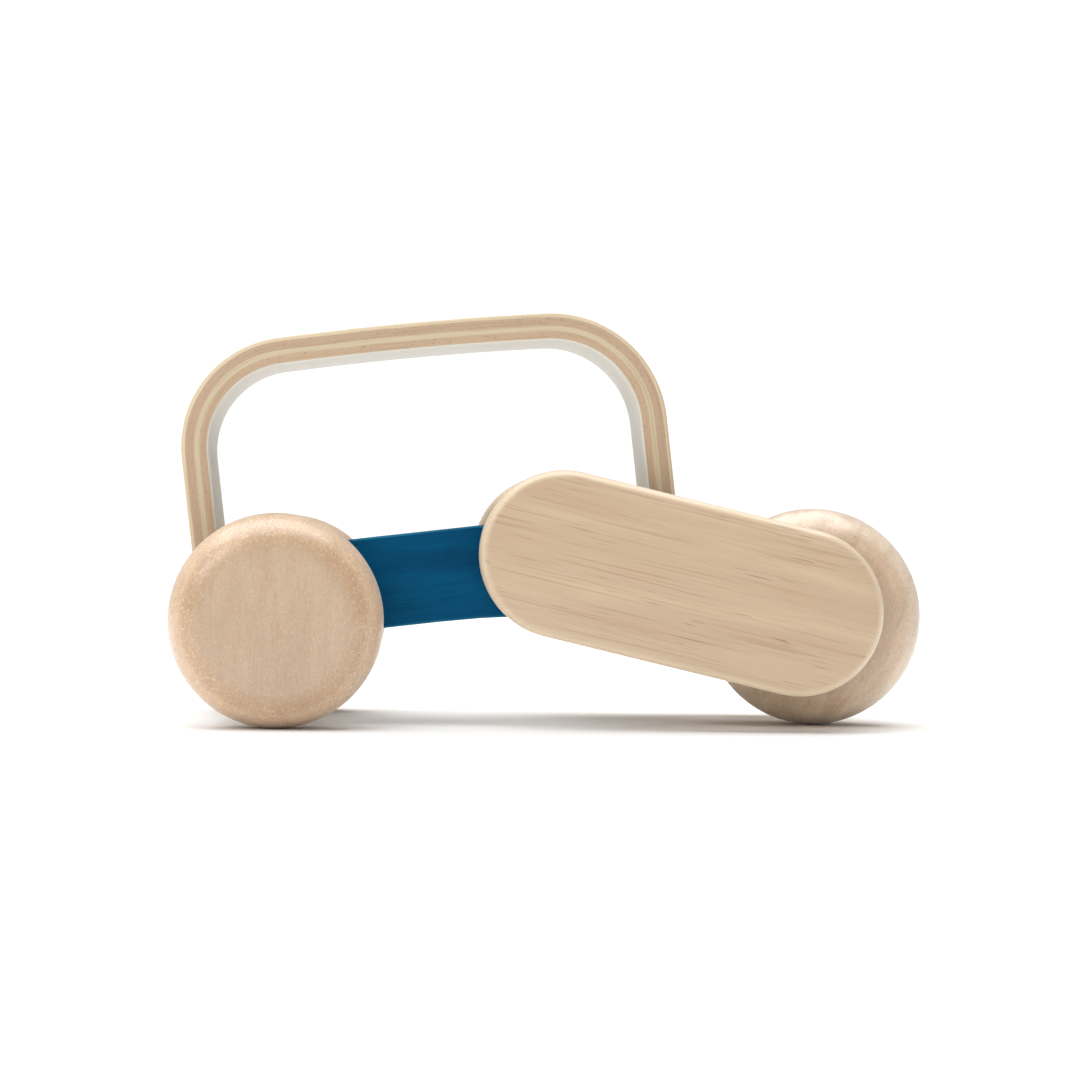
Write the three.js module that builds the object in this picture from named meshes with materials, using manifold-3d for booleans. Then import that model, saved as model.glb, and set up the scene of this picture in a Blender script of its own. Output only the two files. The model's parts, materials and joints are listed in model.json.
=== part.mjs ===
// Wooden walker on three bun wheels: a bent-plywood hand hoop on a two-rail frame
// with a wheel at each rear corner, and a front arm of two oblong blocks that rocks
// on a cross dowel and carries one wheel between them.
// Millimetres, +Z up, +X towards the front wheel, the floor at Z = 0.
// The frame's own coordinates start at the rear axle: x forward along the rails,
// y across, z away from the floor.

import * as THREE from 'three';
import { mergeVertices } from 'three/addons/utils/BufferGeometryUtils.js';
import Module from 'manifold-3d';

const wasm = await Module();
wasm.setup();

// ---------------------------------------------------------------- driving sizes

const degrees = Math.PI / 180;
const GAP = 0.3; // between pieces that touch
const FLUSH = 0.02; // a plug sits this far below the face it closes

// stance
const FRAME_PITCH = 7 * degrees; // rails climb towards the front
const PIVOT_X = 116; // arm pivot in frame coordinates
const PIVOT_Z = -2.2;
const ARM_REACH = 44.6; // arm pivot to front axle

// wheels: the flat faces end at flatRadius, where the round rim starts
const REAR_WHEEL = { radius: 30.5, flatRadius: 18.8, thickness: 24 };
const FRONT_WHEEL = { radius: 32.4, flatRadius: 18.8, thickness: 28 };
const REAR_WHEEL_INNER_FACE = 24.2; // from the middle plane

// hand hoop, bent from five plies
const HOOP_THICKNESS = 8;
const HOOP_WIDTH = 34;
const HOOP_REAR = -23.1; // outer face of the rear leg
const HOOP_FRONT = 118.9; // outer face of the front leg
const HOOP_CREST_X = 36;
const HOOP_CREST_Z = 81.6;
const HOOP_CROWN_RADIUS = 936;
const HOOP_REAR_BEND = 32; // outer radii of the two bends
const HOOP_FRONT_BEND = 34;
const HOOP_REAR_FOOT = -8.5;
const HOOP_FRONT_FOOT = 5.8;
const HOOP_EDGE_ROUND = 0.8;

// side rails
const RAIL_THICKNESS = 5;
const RAIL_TOP = 20.6;
const RAIL_BOTTOM = -6;
const RAIL_REAR_ROUND = 15;
const RAIL_REAR_X = -8;
const RAIL_FRONT_ROUND = (RAIL_TOP - RAIL_BOTTOM) / 2;
const RAIL_SHOULDER_X = 107.5;
const RAIL_DIP_START = 46; // the underside starts to dip towards the pivot
const RAIL_DIP_PITCH = 17 * degrees;
const RAIL_EDGE_ROUND = 0.6;

// oblong arm blocks
const BLOCK_LENGTH = 117.7;
const BLOCK_WIDTH = 48;
const BLOCK_THICKNESS = 16;
const BLOCK_EDGE_ROUND = 3;

// shafts, bushes and dowels
const AXLE_RADIUS = 3;
const AXLE_BUSH_RADIUS = 4.6;
const PIVOT_RADIUS = 6;
const PIVOT_BUSH_RADIUS = 7.7;
const BUSH_INNER_END = 12; // bushes reach this close to the middle plane
const WASHER_RADIUS = 7.5;
const FRICTION_WASHER_RADIUS = 11;
const WASHER_THICKNESS = 1.2;
const BLIND_DEPTH = 12; // shafts enter the blocks this far
const WHEEL_BLIND_DEPTH = 19;
const SPACER_RADIUS = 7;
const DOWEL_RADIUS = 2.5;
const DOWEL_SIDES = 12;
const LEG_DOWEL_RADIUS = 3;
const LEG_DOWEL_LENGTH = 20;
const LEG_DOWEL_SPREAD = 7; // each side of the middle plane
const DOWEL_INNER_END = 11.5;

// how far the arm's front end dips from the rest pose, and the pin that stops it
const ARM_DIP = 25 * degrees;
const STOP_PIN_RADIUS = 1.5;
const STOP_PIN_TIP = 10.6;
const STOP_NOTCH_MARGIN = 15 * degrees;
const STOP_NOTCH_HALF_WIDTH = 2.2;

// ---------------------------------------------------------------- worked-out places

const railInnerFace = HOOP_WIDTH / 2 + GAP;
const railOuterFace = railInnerFace + RAIL_THICKNESS;
const pivotHeight = PIVOT_X * Math.sin(FRAME_PITCH) + PIVOT_Z * Math.cos(FRAME_PITCH);
const pivotForward = PIVOT_X * Math.cos(FRAME_PITCH) - PIVOT_Z * Math.sin(FRAME_PITCH);
const frontAxleRise = FRONT_WHEEL.radius - REAR_WHEEL.radius;
const armPitch = Math.asin((pivotHeight - frontAxleRise) / ARM_REACH);
const armRise = FRAME_PITCH + armPitch; // until the blocks lie along the rails
const blockInnerFace = railOuterFace + WASHER_THICKNESS + 2 * GAP;
const wheelbase = pivotForward + ARM_REACH * Math.cos(armPitch);
const rearAxleX = -(wheelbase + frontAxleRise) / 2; // the wheels' outline is centred on X = 0
const sides = { near: -1, far: 1 };

// ---------------------------------------------------------------- finishes

const rubberwood = { color: 0xd3b896, roughness: 0.6, metalness: 0 };
const turnedWood = { color: 0xd2b08c, roughness: 0.55, metalness: 0 };
const plywood = { color: 0xd8c6a6, roughness: 0.65, metalness: 0 };
const blueStain = { color: 0x06476a, roughness: 0.5, metalness: 0 };
const dowelWood = { color: 0xdcc19b, roughness: 0.6, metalness: 0 };
const steel = { color: 0xb8babd, roughness: 0.3, metalness: 1 };
const nylon = { color: 0xeeeae0, roughness: 0.4, metalness: 0 };
const cork = { color: 0xb98a5a, roughness: 0.9, metalness: 0 };

// ---------------------------------------------------------------- shape helpers

function toSolid(geometry) {
  const bare = geometry.clone();
  bare.deleteAttribute('normal');
  bare.deleteAttribute('uv');
  const merged = mergeVertices(bare, 1e-4);
  return new wasm.Manifold(new wasm.Mesh({
    numProp: 3,
    vertProperties: new Float32Array(merged.attributes.position.array),
    triVerts: new Uint32Array(merged.index.array),
  }));
}

function toGeometry(solid) {
  const mesh = solid.getMesh();
  const geometry = new THREE.BufferGeometry();
  geometry.setAttribute('position', new THREE.BufferAttribute(mesh.vertProperties, 3));
  geometry.setIndex(new THREE.BufferAttribute(mesh.triVerts, 1));
  return geometry;
}

function cut(geometry, tools) {
  const solid = tools.reduce((left, tool) => left.subtract(toSolid(tool)), toSolid(geometry));
  return toGeometry(solid);
}

// a rod across the walker, from y = from to y = to
function rodAcross(radius, from, to, x = 0, z = 0, segments = 20) {
  const rod = new THREE.CylinderGeometry(radius, radius, Math.abs(to - from), segments);
  return rod.translate(x, (from + to) / 2, z);
}

// a rod along the rails, from x = from to x = to
function rodAlong(radius, from, to, y, z, segments = 16) {
  const rod = new THREE.CylinderGeometry(radius, radius, Math.abs(to - from), segments);
  return rod.rotateZ(Math.PI / 2).translate((from + to) / 2, y, z);
}

// a ring or tube about the y axis
function ringAcross(inner, outer, from, to, x = 0, z = 0, segments = 20) {
  const low = Math.min(from, to);
  const high = Math.max(from, to);
  const profile = [[inner, low], [outer, low], [outer, high], [inner, high], [inner, low]];
  const points = profile.map(([radius, height]) => new THREE.Vector2(radius, height));
  return new THREE.LatheGeometry(points, segments).translate(x, 0, z);
}

// an outline in the x-z plane made into a board across y, its arrises rounded
function board(outline, thickness, middle, round, curveSegments = 6, roundSteps = 1) {
  const geometry = new THREE.ExtrudeGeometry(outline, {
    depth: thickness - 2 * round,
    bevelEnabled: round > 0,
    bevelThickness: round,
    bevelSize: round,
    bevelOffset: -round,
    bevelSegments: roundSteps,
    curveSegments,
  });
  return geometry.rotateX(Math.PI / 2).translate(0, middle + thickness / 2 - round, 0);
}

function addPart(group, name, geometry, finish) {
  const mesh = new THREE.Mesh(geometry, new THREE.MeshStandardMaterial(finish));
  mesh.name = name;
  group.add(mesh);
  return mesh;
}

// ---------------------------------------------------------------- hand hoop

// The hoop's curve set in by an inset from its outer face, from the rear foot over
// the crown to the front foot.
function traceHoop(shape, inset, backwards) {
  const crownCentre = HOOP_CREST_Z - HOOP_CROWN_RADIUS;
  const rearX = HOOP_REAR + HOOP_REAR_BEND;
  const frontX = HOOP_FRONT - HOOP_FRONT_BEND;
  const rearReach = HOOP_CROWN_RADIUS - HOOP_REAR_BEND;
  const frontReach = HOOP_CROWN_RADIUS - HOOP_FRONT_BEND;
  const rearAngle = Math.acos((rearX - HOOP_CREST_X) / rearReach);
  const frontAngle = Math.acos((frontX - HOOP_CREST_X) / frontReach);
  const rearZ = crownCentre + rearReach * Math.sin(rearAngle);
  const frontZ = crownCentre + frontReach * Math.sin(frontAngle);
  const arcs = [
    [rearX, rearZ, HOOP_REAR_BEND - inset, Math.PI, rearAngle],
    [HOOP_CREST_X, crownCentre, HOOP_CROWN_RADIUS - inset, rearAngle, frontAngle],
    [frontX, frontZ, HOOP_FRONT_BEND - inset, frontAngle, 0],
  ];
  const feet = [[HOOP_REAR + inset, HOOP_REAR_FOOT], [HOOP_FRONT - inset, HOOP_FRONT_FOOT]];
  if (backwards) {
    shape.lineTo(...feet[1]);
    for (const [x, z, radius, start, end] of arcs.reverse()) {
      shape.absarc(x, z, radius, end, start, false);
    }
    shape.lineTo(...feet[0]);
  } else {
    shape.moveTo(...feet[0]);
    shape.lineTo(HOOP_REAR + inset, rearZ);
    for (const [x, z, radius, start, end] of arcs) {
      shape.absarc(x, z, radius, start, end, true);
    }
    shape.lineTo(...feet[1]);
  }
}

// two dowels pin each leg to its cross block
const legs = {
  rear: { outerFace: HOOP_REAR, inwards: 1, dowelZ: 10 },
  front: { outerFace: HOOP_FRONT, inwards: -1, dowelZ: 12.6 },
};

function legDowel(leg, side) {
  const start = leg.outerFace + leg.inwards * FLUSH;
  const end = start + leg.inwards * LEG_DOWEL_LENGTH;
  return rodAlong(LEG_DOWEL_RADIUS, start, end, side * LEG_DOWEL_SPREAD, leg.dowelZ);
}

function legDowelHoles(leg) {
  const start = leg.outerFace - leg.inwards;
  const end = leg.outerFace + leg.inwards * (LEG_DOWEL_LENGTH + GAP);
  return Object.values(sides).map((side) => (
    rodAlong(LEG_DOWEL_RADIUS + GAP, start, end, side * LEG_DOWEL_SPREAD, leg.dowelZ)
  ));
}

function makeHoop() {
  const outline = new THREE.Shape();
  traceHoop(outline, 0, false);
  traceHoop(outline, HOOP_THICKNESS, true);
  outline.closePath();
  const holes = [...legDowelHoles(legs.rear), ...legDowelHoles(legs.front)];
  return cut(board(outline, HOOP_WIDTH, 0, HOOP_EDGE_ROUND, 7), holes);
}

// ---------------------------------------------------------------- side rails

const railDowelPlaces = [[-9.5, 0], [8.5, 12], [102, 13], [102, -5.5]];

function railOutline() {
  const rearZ = RAIL_TOP - RAIL_REAR_ROUND;
  const shoulderZ = RAIL_TOP - RAIL_FRONT_ROUND;
  const noseAngle = Math.atan2(PIVOT_X - RAIL_SHOULDER_X, shoulderZ - PIVOT_Z);
  const dipEndX = PIVOT_X - RAIL_FRONT_ROUND * Math.sin(RAIL_DIP_PITCH);
  const dipEndZ = PIVOT_Z - RAIL_FRONT_ROUND * Math.cos(RAIL_DIP_PITCH);
  const dipControlX = dipEndX - (RAIL_BOTTOM - dipEndZ) / Math.tan(RAIL_DIP_PITCH);
  const underRear = RAIL_TOP - 2 * RAIL_REAR_ROUND;
  const straightStart = REAR_WHEEL.radius - 1;
  const outline = new THREE.Shape();
  outline.moveTo(RAIL_REAR_X, RAIL_TOP);
  outline.lineTo(RAIL_SHOULDER_X, RAIL_TOP);
  outline.absarc(RAIL_SHOULDER_X, shoulderZ, RAIL_FRONT_ROUND, Math.PI / 2, noseAngle, true);
  outline.absarc(PIVOT_X, PIVOT_Z, RAIL_FRONT_ROUND, noseAngle, -Math.PI / 2 - RAIL_DIP_PITCH, true);
  outline.quadraticCurveTo(dipControlX, RAIL_BOTTOM, RAIL_DIP_START, RAIL_BOTTOM);
  outline.lineTo(straightStart, RAIL_BOTTOM);
  outline.bezierCurveTo(straightStart / 2, RAIL_BOTTOM, straightStart / 2, underRear, 0, underRear);
  outline.lineTo(RAIL_REAR_X, underRear);
  outline.absarc(RAIL_REAR_X, rearZ, RAIL_REAR_ROUND, -Math.PI / 2, Math.PI / 2, true);
  return outline;
}

function makeRail(side) {
  const middle = side * (railInnerFace + RAIL_THICKNESS / 2);
  const from = middle - RAIL_THICKNESS;
  const to = middle + RAIL_THICKNESS;
  return cut(board(railOutline(), RAIL_THICKNESS, middle, RAIL_EDGE_ROUND), [
    rodAcross(AXLE_BUSH_RADIUS + GAP, from, to),
    rodAcross(PIVOT_BUSH_RADIUS + GAP, from, to, PIVOT_X, PIVOT_Z),
    ...railDowelPlaces.map(([x, z]) => rodAcross(DOWEL_RADIUS + GAP, from, to, x, z, DOWEL_SIDES)),
  ]);
}

function makeRailDowel(side, x, z) {
  return rodAcross(DOWEL_RADIUS, side * DOWEL_INNER_END, side * (railOuterFace - FLUSH), x, z, DOWEL_SIDES);
}

// ---------------------------------------------------------------- cross blocks

const REAR_CROSS_FRONT = 14;
const REAR_CROSS_TOP = RAIL_TOP - 0.8;
const FRONT_CROSS_REAR = 98;
const FRONT_CROSS_NOSE = 11; // radius about the pivot, clear of the front wheel

function railDowelSockets(places) {
  return places.flatMap(([x, z]) => Object.values(sides).map((side) => rodAcross(
    DOWEL_RADIUS + GAP,
    side * (DOWEL_INNER_END - GAP),
    side * railInnerFace,
    x,
    z,
    DOWEL_SIDES,
  )));
}

function shaftBores(x, z, shaftRadius, bushRadius) {
  const counterbores = Object.values(sides).map((side) => rodAcross(
    bushRadius + GAP,
    side * (BUSH_INNER_END - GAP),
    side * railInnerFace,
    x,
    z,
  ));
  return [rodAcross(shaftRadius + GAP, -railInnerFace, railInnerFace, x, z), ...counterbores];
}

function makeRearCross() {
  const rear = HOOP_REAR + HOOP_THICKNESS + GAP;
  const low = RAIL_TOP - 2 * RAIL_REAR_ROUND + 0.8;
  const outline = new THREE.Shape();
  outline.moveTo(rear, low);
  outline.lineTo(REAR_CROSS_FRONT, low);
  outline.lineTo(REAR_CROSS_FRONT, REAR_CROSS_TOP);
  outline.lineTo(rear, REAR_CROSS_TOP);
  outline.closePath();
  return cut(board(outline, HOOP_WIDTH, 0, 0), [
    ...shaftBores(0, 0, AXLE_RADIUS, AXLE_BUSH_RADIUS),
    ...railDowelSockets(railDowelPlaces.slice(0, 2)),
    ...legDowelHoles(legs.rear),
  ]);
}

// the slot that the stop pin swings in, below the pivot
function stopNotch() {
  const start = -Math.PI / 2 - ARM_DIP - STOP_NOTCH_MARGIN;
  const end = -Math.PI / 2 + armRise + STOP_NOTCH_MARGIN;
  const outer = FRONT_CROSS_NOSE + 4;
  const sector = new THREE.Shape();
  sector.moveTo(PIVOT_X, PIVOT_Z);
  sector.lineTo(PIVOT_X + outer * Math.cos(start), PIVOT_Z + outer * Math.sin(start));
  sector.absarc(PIVOT_X, PIVOT_Z, outer, start, end, false);
  sector.closePath();
  return board(sector, 2 * STOP_NOTCH_HALF_WIDTH, 0, 0);
}

function makeFrontCross() {
  const legSeatX = HOOP_FRONT - HOOP_THICKNESS - GAP;
  const legSeatZ = HOOP_FRONT_FOOT - GAP;
  const noseStart = -Math.PI / 2;
  const noseEnd = Math.asin((legSeatZ - PIVOT_Z) / FRONT_CROSS_NOSE);
  const outline = new THREE.Shape();
  outline.moveTo(FRONT_CROSS_REAR, PIVOT_Z - FRONT_CROSS_NOSE + 3.4);
  outline.lineTo(PIVOT_X, PIVOT_Z - FRONT_CROSS_NOSE);
  outline.absarc(PIVOT_X, PIVOT_Z, FRONT_CROSS_NOSE, noseStart, noseEnd, false);
  outline.lineTo(legSeatX, legSeatZ);
  outline.lineTo(legSeatX, REAR_CROSS_TOP - 1.2);
  outline.lineTo(FRONT_CROSS_REAR, REAR_CROSS_TOP - 1.2);
  outline.closePath();
  return cut(board(outline, HOOP_WIDTH, 0, 0), [
    ...shaftBores(PIVOT_X, PIVOT_Z, PIVOT_RADIUS, PIVOT_BUSH_RADIUS),
    ...railDowelSockets(railDowelPlaces.slice(2)),
    ...legDowelHoles(legs.front),
    stopNotch(),
  ]);
}

// ---------------------------------------------------------------- wheels

const WHEEL_SEGMENTS = 36;
const ROUND_STEPS = 4;

// the round rim of a bun wheel, from the edge of one flat face to the other
function rimProfile({ radius, flatRadius, thickness }) {
  const points = [];
  for (let step = -ROUND_STEPS; step <= ROUND_STEPS; step += 1) {
    const angle = (step / ROUND_STEPS) * (Math.PI / 2);
    const reach = (radius - flatRadius) * Math.cos(angle);
    points.push([flatRadius + reach, (thickness / 2) * Math.sin(angle)]);
  }
  return points;
}

function lathed(profile) {
  const points = profile.map(([radius, height]) => new THREE.Vector2(radius, height));
  return new THREE.LatheGeometry(points, WHEEL_SEGMENTS);
}

// rear wheels have a blind bore in the inner face; the outer face stays blank
function makeRearWheel(side) {
  const half = REAR_WHEEL.thickness / 2;
  const bore = AXLE_RADIUS + GAP;
  const boreEnd = half - WHEEL_BLIND_DEPTH - GAP;
  const rim = rimProfile(REAR_WHEEL);
  const wheel = lathed([[0, -half], ...rim, [bore, half], [bore, boreEnd], [0, boreEnd]]);
  if (side > 0) {
    wheel.rotateX(Math.PI);
  }
  return wheel;
}

function makeFrontWheel() {
  const half = FRONT_WHEEL.thickness / 2;
  const bore = AXLE_BUSH_RADIUS + GAP;
  return lathed([[bore, -half], ...rimProfile(FRONT_WHEEL), [bore, half], [bore, -half]]);
}

// ---------------------------------------------------------------- arm pieces

function blockOutline() {
  const radius = BLOCK_WIDTH / 2;
  const straight = BLOCK_LENGTH / 2 - radius;
  const outline = new THREE.Shape();
  outline.moveTo(-straight, -radius);
  outline.lineTo(straight, -radius);
  outline.absarc(straight, 0, radius, -Math.PI / 2, Math.PI / 2, false);
  outline.lineTo(-straight, radius);
  outline.absarc(-straight, 0, radius, Math.PI / 2, -Math.PI / 2, false);
  return outline;
}

function makeBlock(side) {
  const middle = side * (blockInnerFace + BLOCK_THICKNESS / 2);
  const start = side * (blockInnerFace - 1);
  const end = side * (blockInnerFace + BLIND_DEPTH);
  return cut(board(blockOutline(), BLOCK_THICKNESS, middle, BLOCK_EDGE_ROUND, 12, 3), [
    rodAcross(PIVOT_RADIUS + GAP, start, end),
    rodAcross(AXLE_RADIUS + GAP, start, end, ARM_REACH, 0),
  ]);
}

function makePivotDowel(end) {
  const pinHole = new THREE.CylinderGeometry(
    STOP_PIN_RADIUS + GAP,
    STOP_PIN_RADIUS + GAP,
    2 * PIVOT_RADIUS + 2,
    DOWEL_SIDES,
  );
  pinHole.rotateX(Math.PI / 2).rotateY(-armRise);
  return cut(rodAcross(PIVOT_RADIUS, -end, end), [pinHole]);
}

// square to the rails at rest, so it hangs in the middle of its notch
function makeStopPin() {
  const length = STOP_PIN_TIP + PIVOT_RADIUS - FLUSH;
  const pin = new THREE.CylinderGeometry(STOP_PIN_RADIUS, STOP_PIN_RADIUS, length, DOWEL_SIDES);
  pin.rotateX(Math.PI / 2).translate(0, 0, PIVOT_RADIUS - FLUSH - length / 2);
  return pin.rotateY(-armRise);
}

// ---------------------------------------------------------------- assembly

const walker = new THREE.Group();

const frame = new THREE.Group();
frame.position.set(rearAxleX, 0, REAR_WHEEL.radius);
frame.rotation.y = -FRAME_PITCH;
walker.add(frame);

addPart(frame, 'handle_hoop', makeHoop(), plywood);
addPart(frame, 'rear_cross_block', makeRearCross(), rubberwood);
addPart(frame, 'front_cross_block', makeFrontCross(), rubberwood);

const rearWheelset = new THREE.Group();
rearWheelset.position.set(rearAxleX, 0, REAR_WHEEL.radius);
walker.add(rearWheelset);

const arm = new THREE.Group();
arm.position.set(rearAxleX + pivotForward, 0, REAR_WHEEL.radius + pivotHeight);
arm.rotation.y = armPitch;
walker.add(arm);

const frontWheelFace = FRONT_WHEEL.thickness / 2;
const axleBore = AXLE_RADIUS + GAP;
const pivotBore = PIVOT_RADIUS + GAP;

// a washer against a face that is `from` away from the middle plane
function washer(side, from) {
  return ringAcross(axleBore, WASHER_RADIUS, side * from, side * (from + WASHER_THICKNESS));
}

for (const [label, side] of Object.entries(sides)) {
  addPart(frame, `rail_${label}`, makeRail(side), blueStain);
  railDowelPlaces.forEach(([x, z], index) => {
    addPart(frame, `rail_dowel_${label}_${index + 1}`, makeRailDowel(side, x, z), dowelWood);
  });
  for (const [end, leg] of Object.entries(legs)) {
    addPart(frame, `${end}_leg_dowel_${label}`, legDowel(leg, side), dowelWood);
  }
  addPart(frame, `rear_axle_bush_${label}`, ringAcross(
    axleBore,
    AXLE_BUSH_RADIUS,
    side * BUSH_INNER_END,
    side * railOuterFace,
  ), nylon);
  addPart(frame, `pivot_bush_${label}`, ringAcross(
    pivotBore,
    PIVOT_BUSH_RADIUS,
    side * BUSH_INNER_END,
    side * railOuterFace,
    PIVOT_X,
    PIVOT_Z,
  ), nylon);

  const rearWheel = addPart(rearWheelset, `rear_wheel_${label}`, makeRearWheel(side), turnedWood);
  rearWheel.position.y = side * (REAR_WHEEL_INNER_FACE + REAR_WHEEL.thickness / 2);
  const rearWasherFrom = REAR_WHEEL_INNER_FACE - GAP - WASHER_THICKNESS;
  addPart(rearWheelset, `rear_washer_${label}`, washer(side, rearWasherFrom), nylon);

  addPart(arm, `arm_block_${label}`, makeBlock(side), rubberwood);
  const frictionFrom = railOuterFace + GAP;
  addPart(arm, `friction_washer_${label}`, ringAcross(
    pivotBore,
    FRICTION_WASHER_RADIUS,
    side * frictionFrom,
    side * (frictionFrom + WASHER_THICKNESS),
  ), cork);
  const frontWasher = washer(side, frontWheelFace + GAP);
  addPart(arm, `front_washer_${label}`, frontWasher, nylon).position.x = ARM_REACH;
  addPart(arm, `front_spacer_${label}`, ringAcross(
    axleBore,
    SPACER_RADIUS,
    side * (frontWheelFace + WASHER_THICKNESS + 2 * GAP),
    side * (blockInnerFace - GAP),
    ARM_REACH,
  ), dowelWood);
}

const rearAxleEnd = REAR_WHEEL_INNER_FACE + WHEEL_BLIND_DEPTH;
addPart(rearWheelset, 'rear_axle', rodAcross(AXLE_RADIUS, -rearAxleEnd, rearAxleEnd), steel);

const armShaftEnd = blockInnerFace + BLIND_DEPTH - GAP;
addPart(arm, 'pivot_dowel', makePivotDowel(armShaftEnd), dowelWood);
addPart(arm, 'stop_pin', makeStopPin(), steel);
addPart(arm, 'front_axle', rodAcross(AXLE_RADIUS, -armShaftEnd, armShaftEnd, ARM_REACH), steel);

// turned back by the arm's pitch, so that a vertex of the rim meets the floor
const frontWheel = addPart(arm, 'front_wheel', makeFrontWheel(), turnedWood);
frontWheel.position.x = ARM_REACH;
frontWheel.rotation.y = -armPitch;
addPart(arm, 'front_wheel_bush', ringAcross(
  axleBore,
  AXLE_BUSH_RADIUS,
  -frontWheelFace,
  frontWheelFace,
  ARM_REACH,
), nylon);

export default walker;
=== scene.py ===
"""Looks of a low wooden baby walker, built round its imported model.

A bent-plywood hand hoop stands on two blue side rails. Bun wheels carry the rear corners, and a
rocking arm of two oblong blocks carries the front wheel between them. Every place is in the row
frame, in metres: +X towards the front wheel, +Y to the far side, +Z up, the floor at Z = 0.
"""

import json
import logging
import math
from dataclasses import dataclass, field
from enum import Enum
from typing import Iterable, Optional, Sequence

import bmesh
import bpy
from mathutils import Matrix, Vector


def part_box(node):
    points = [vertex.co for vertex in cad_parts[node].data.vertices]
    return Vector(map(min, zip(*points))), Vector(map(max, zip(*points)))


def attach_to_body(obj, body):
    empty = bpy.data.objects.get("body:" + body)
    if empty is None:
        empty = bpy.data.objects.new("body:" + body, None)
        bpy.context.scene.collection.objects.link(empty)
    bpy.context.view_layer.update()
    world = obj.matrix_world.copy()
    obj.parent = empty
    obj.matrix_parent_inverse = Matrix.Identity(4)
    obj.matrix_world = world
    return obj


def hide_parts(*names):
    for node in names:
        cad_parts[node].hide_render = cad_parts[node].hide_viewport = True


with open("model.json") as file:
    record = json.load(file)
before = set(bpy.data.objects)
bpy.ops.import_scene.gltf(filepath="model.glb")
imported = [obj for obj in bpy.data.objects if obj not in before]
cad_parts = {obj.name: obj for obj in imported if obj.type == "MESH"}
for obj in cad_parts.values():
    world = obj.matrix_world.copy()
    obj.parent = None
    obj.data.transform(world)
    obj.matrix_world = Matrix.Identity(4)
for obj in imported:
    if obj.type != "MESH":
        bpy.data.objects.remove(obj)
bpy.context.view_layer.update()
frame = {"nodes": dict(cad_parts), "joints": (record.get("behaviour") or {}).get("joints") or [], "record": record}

MM = 0.001
SIDES = {"near": -1, "far": 1}
log = logging.getLogger("walker")


# ------------------------------------------------------------------ places taken from the frame


def centre_of(node: str) -> Vector:
    """Middle of a CAD node's box, in metres."""
    low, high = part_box(node)
    return (low + high) / 2


def joint_place(name: str) -> Vector:
    """Point on a joint's axis, in metres."""
    return next(Vector(joint["pos_m"]) for joint in frame["joints"] if joint["name"] == name)


REAR_AXLE = joint_place("rear_axle_spin")
ARM_PIVOT = joint_place("arm_pivot")
FRONT_AXLE = joint_place("front_wheel_spin")
FRAME_PITCH = math.radians(-7)
ARM_PITCH = math.atan2(ARM_PIVOT.z - FRONT_AXLE.z, FRONT_AXLE.x - ARM_PIVOT.x)


def pitched(origin: Vector, pitch: float) -> Matrix:
    """Placement of a sub-assembly's own axes in the row frame.

    Args:
        origin: Where its own origin sits, in metres.
        pitch: Turn about +Y in radians; a positive turn dips the front end.

    Returns:
        The matrix from its own axes, in metres, to the row frame.
    """
    return Matrix.Translation(origin) @ Matrix.Rotation(pitch, 4, "Y")


# ------------------------------------------------------------------ colour and node helpers


def linear(code: str) -> tuple[float, float, float, float]:
    """Linear colour of an sRGB hex code.

    Args:
        code: Six hex digits after a hash sign.

    Returns:
        Red, green, blue and alpha as a shader socket takes them.
    """
    channels = [int(code[start : start + 2], 16) / 255 for start in (1, 3, 5)]
    curve = [c / 12.92 if c <= 0.04045 else ((c + 0.055) / 1.055) ** 2.4 for c in channels]
    return (*curve, 1.0)


def add_node(
    tree: bpy.types.NodeTree,
    kind: str,
    inputs: Optional[dict] = None,
    stops: Sequence[tuple[float, object]] = (),
    **settings: object,
) -> bpy.types.Node:
    """Adds one shader node with its settings and links.

    Args:
        tree: The material's node tree.
        kind: Node type without its ShaderNode prefix.
        inputs: Input sockets by name or number, each given a value or an output socket.
        stops: Places and colours of a colour ramp, if the node is one.
        **settings: Properties set on the node itself.

    Returns:
        The new node.
    """
    node = tree.nodes.new(f"ShaderNode{kind}")
    for key, value in settings.items():
        setattr(node, key, value)
    for index, (place, tone) in enumerate(stops):
        ramp = node.color_ramp.elements
        stop = ramp[index] if index < 2 else ramp.new(place)
        stop.position = place
        stop.color = linear(tone) if isinstance(tone, str) else (tone, tone, tone, 1.0)
    for key, value in (inputs or {}).items():
        if isinstance(value, bpy.types.NodeSocket):
            tree.links.new(value, node.inputs[key])
        else:
            node.inputs[key].default_value = value
    return node


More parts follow.
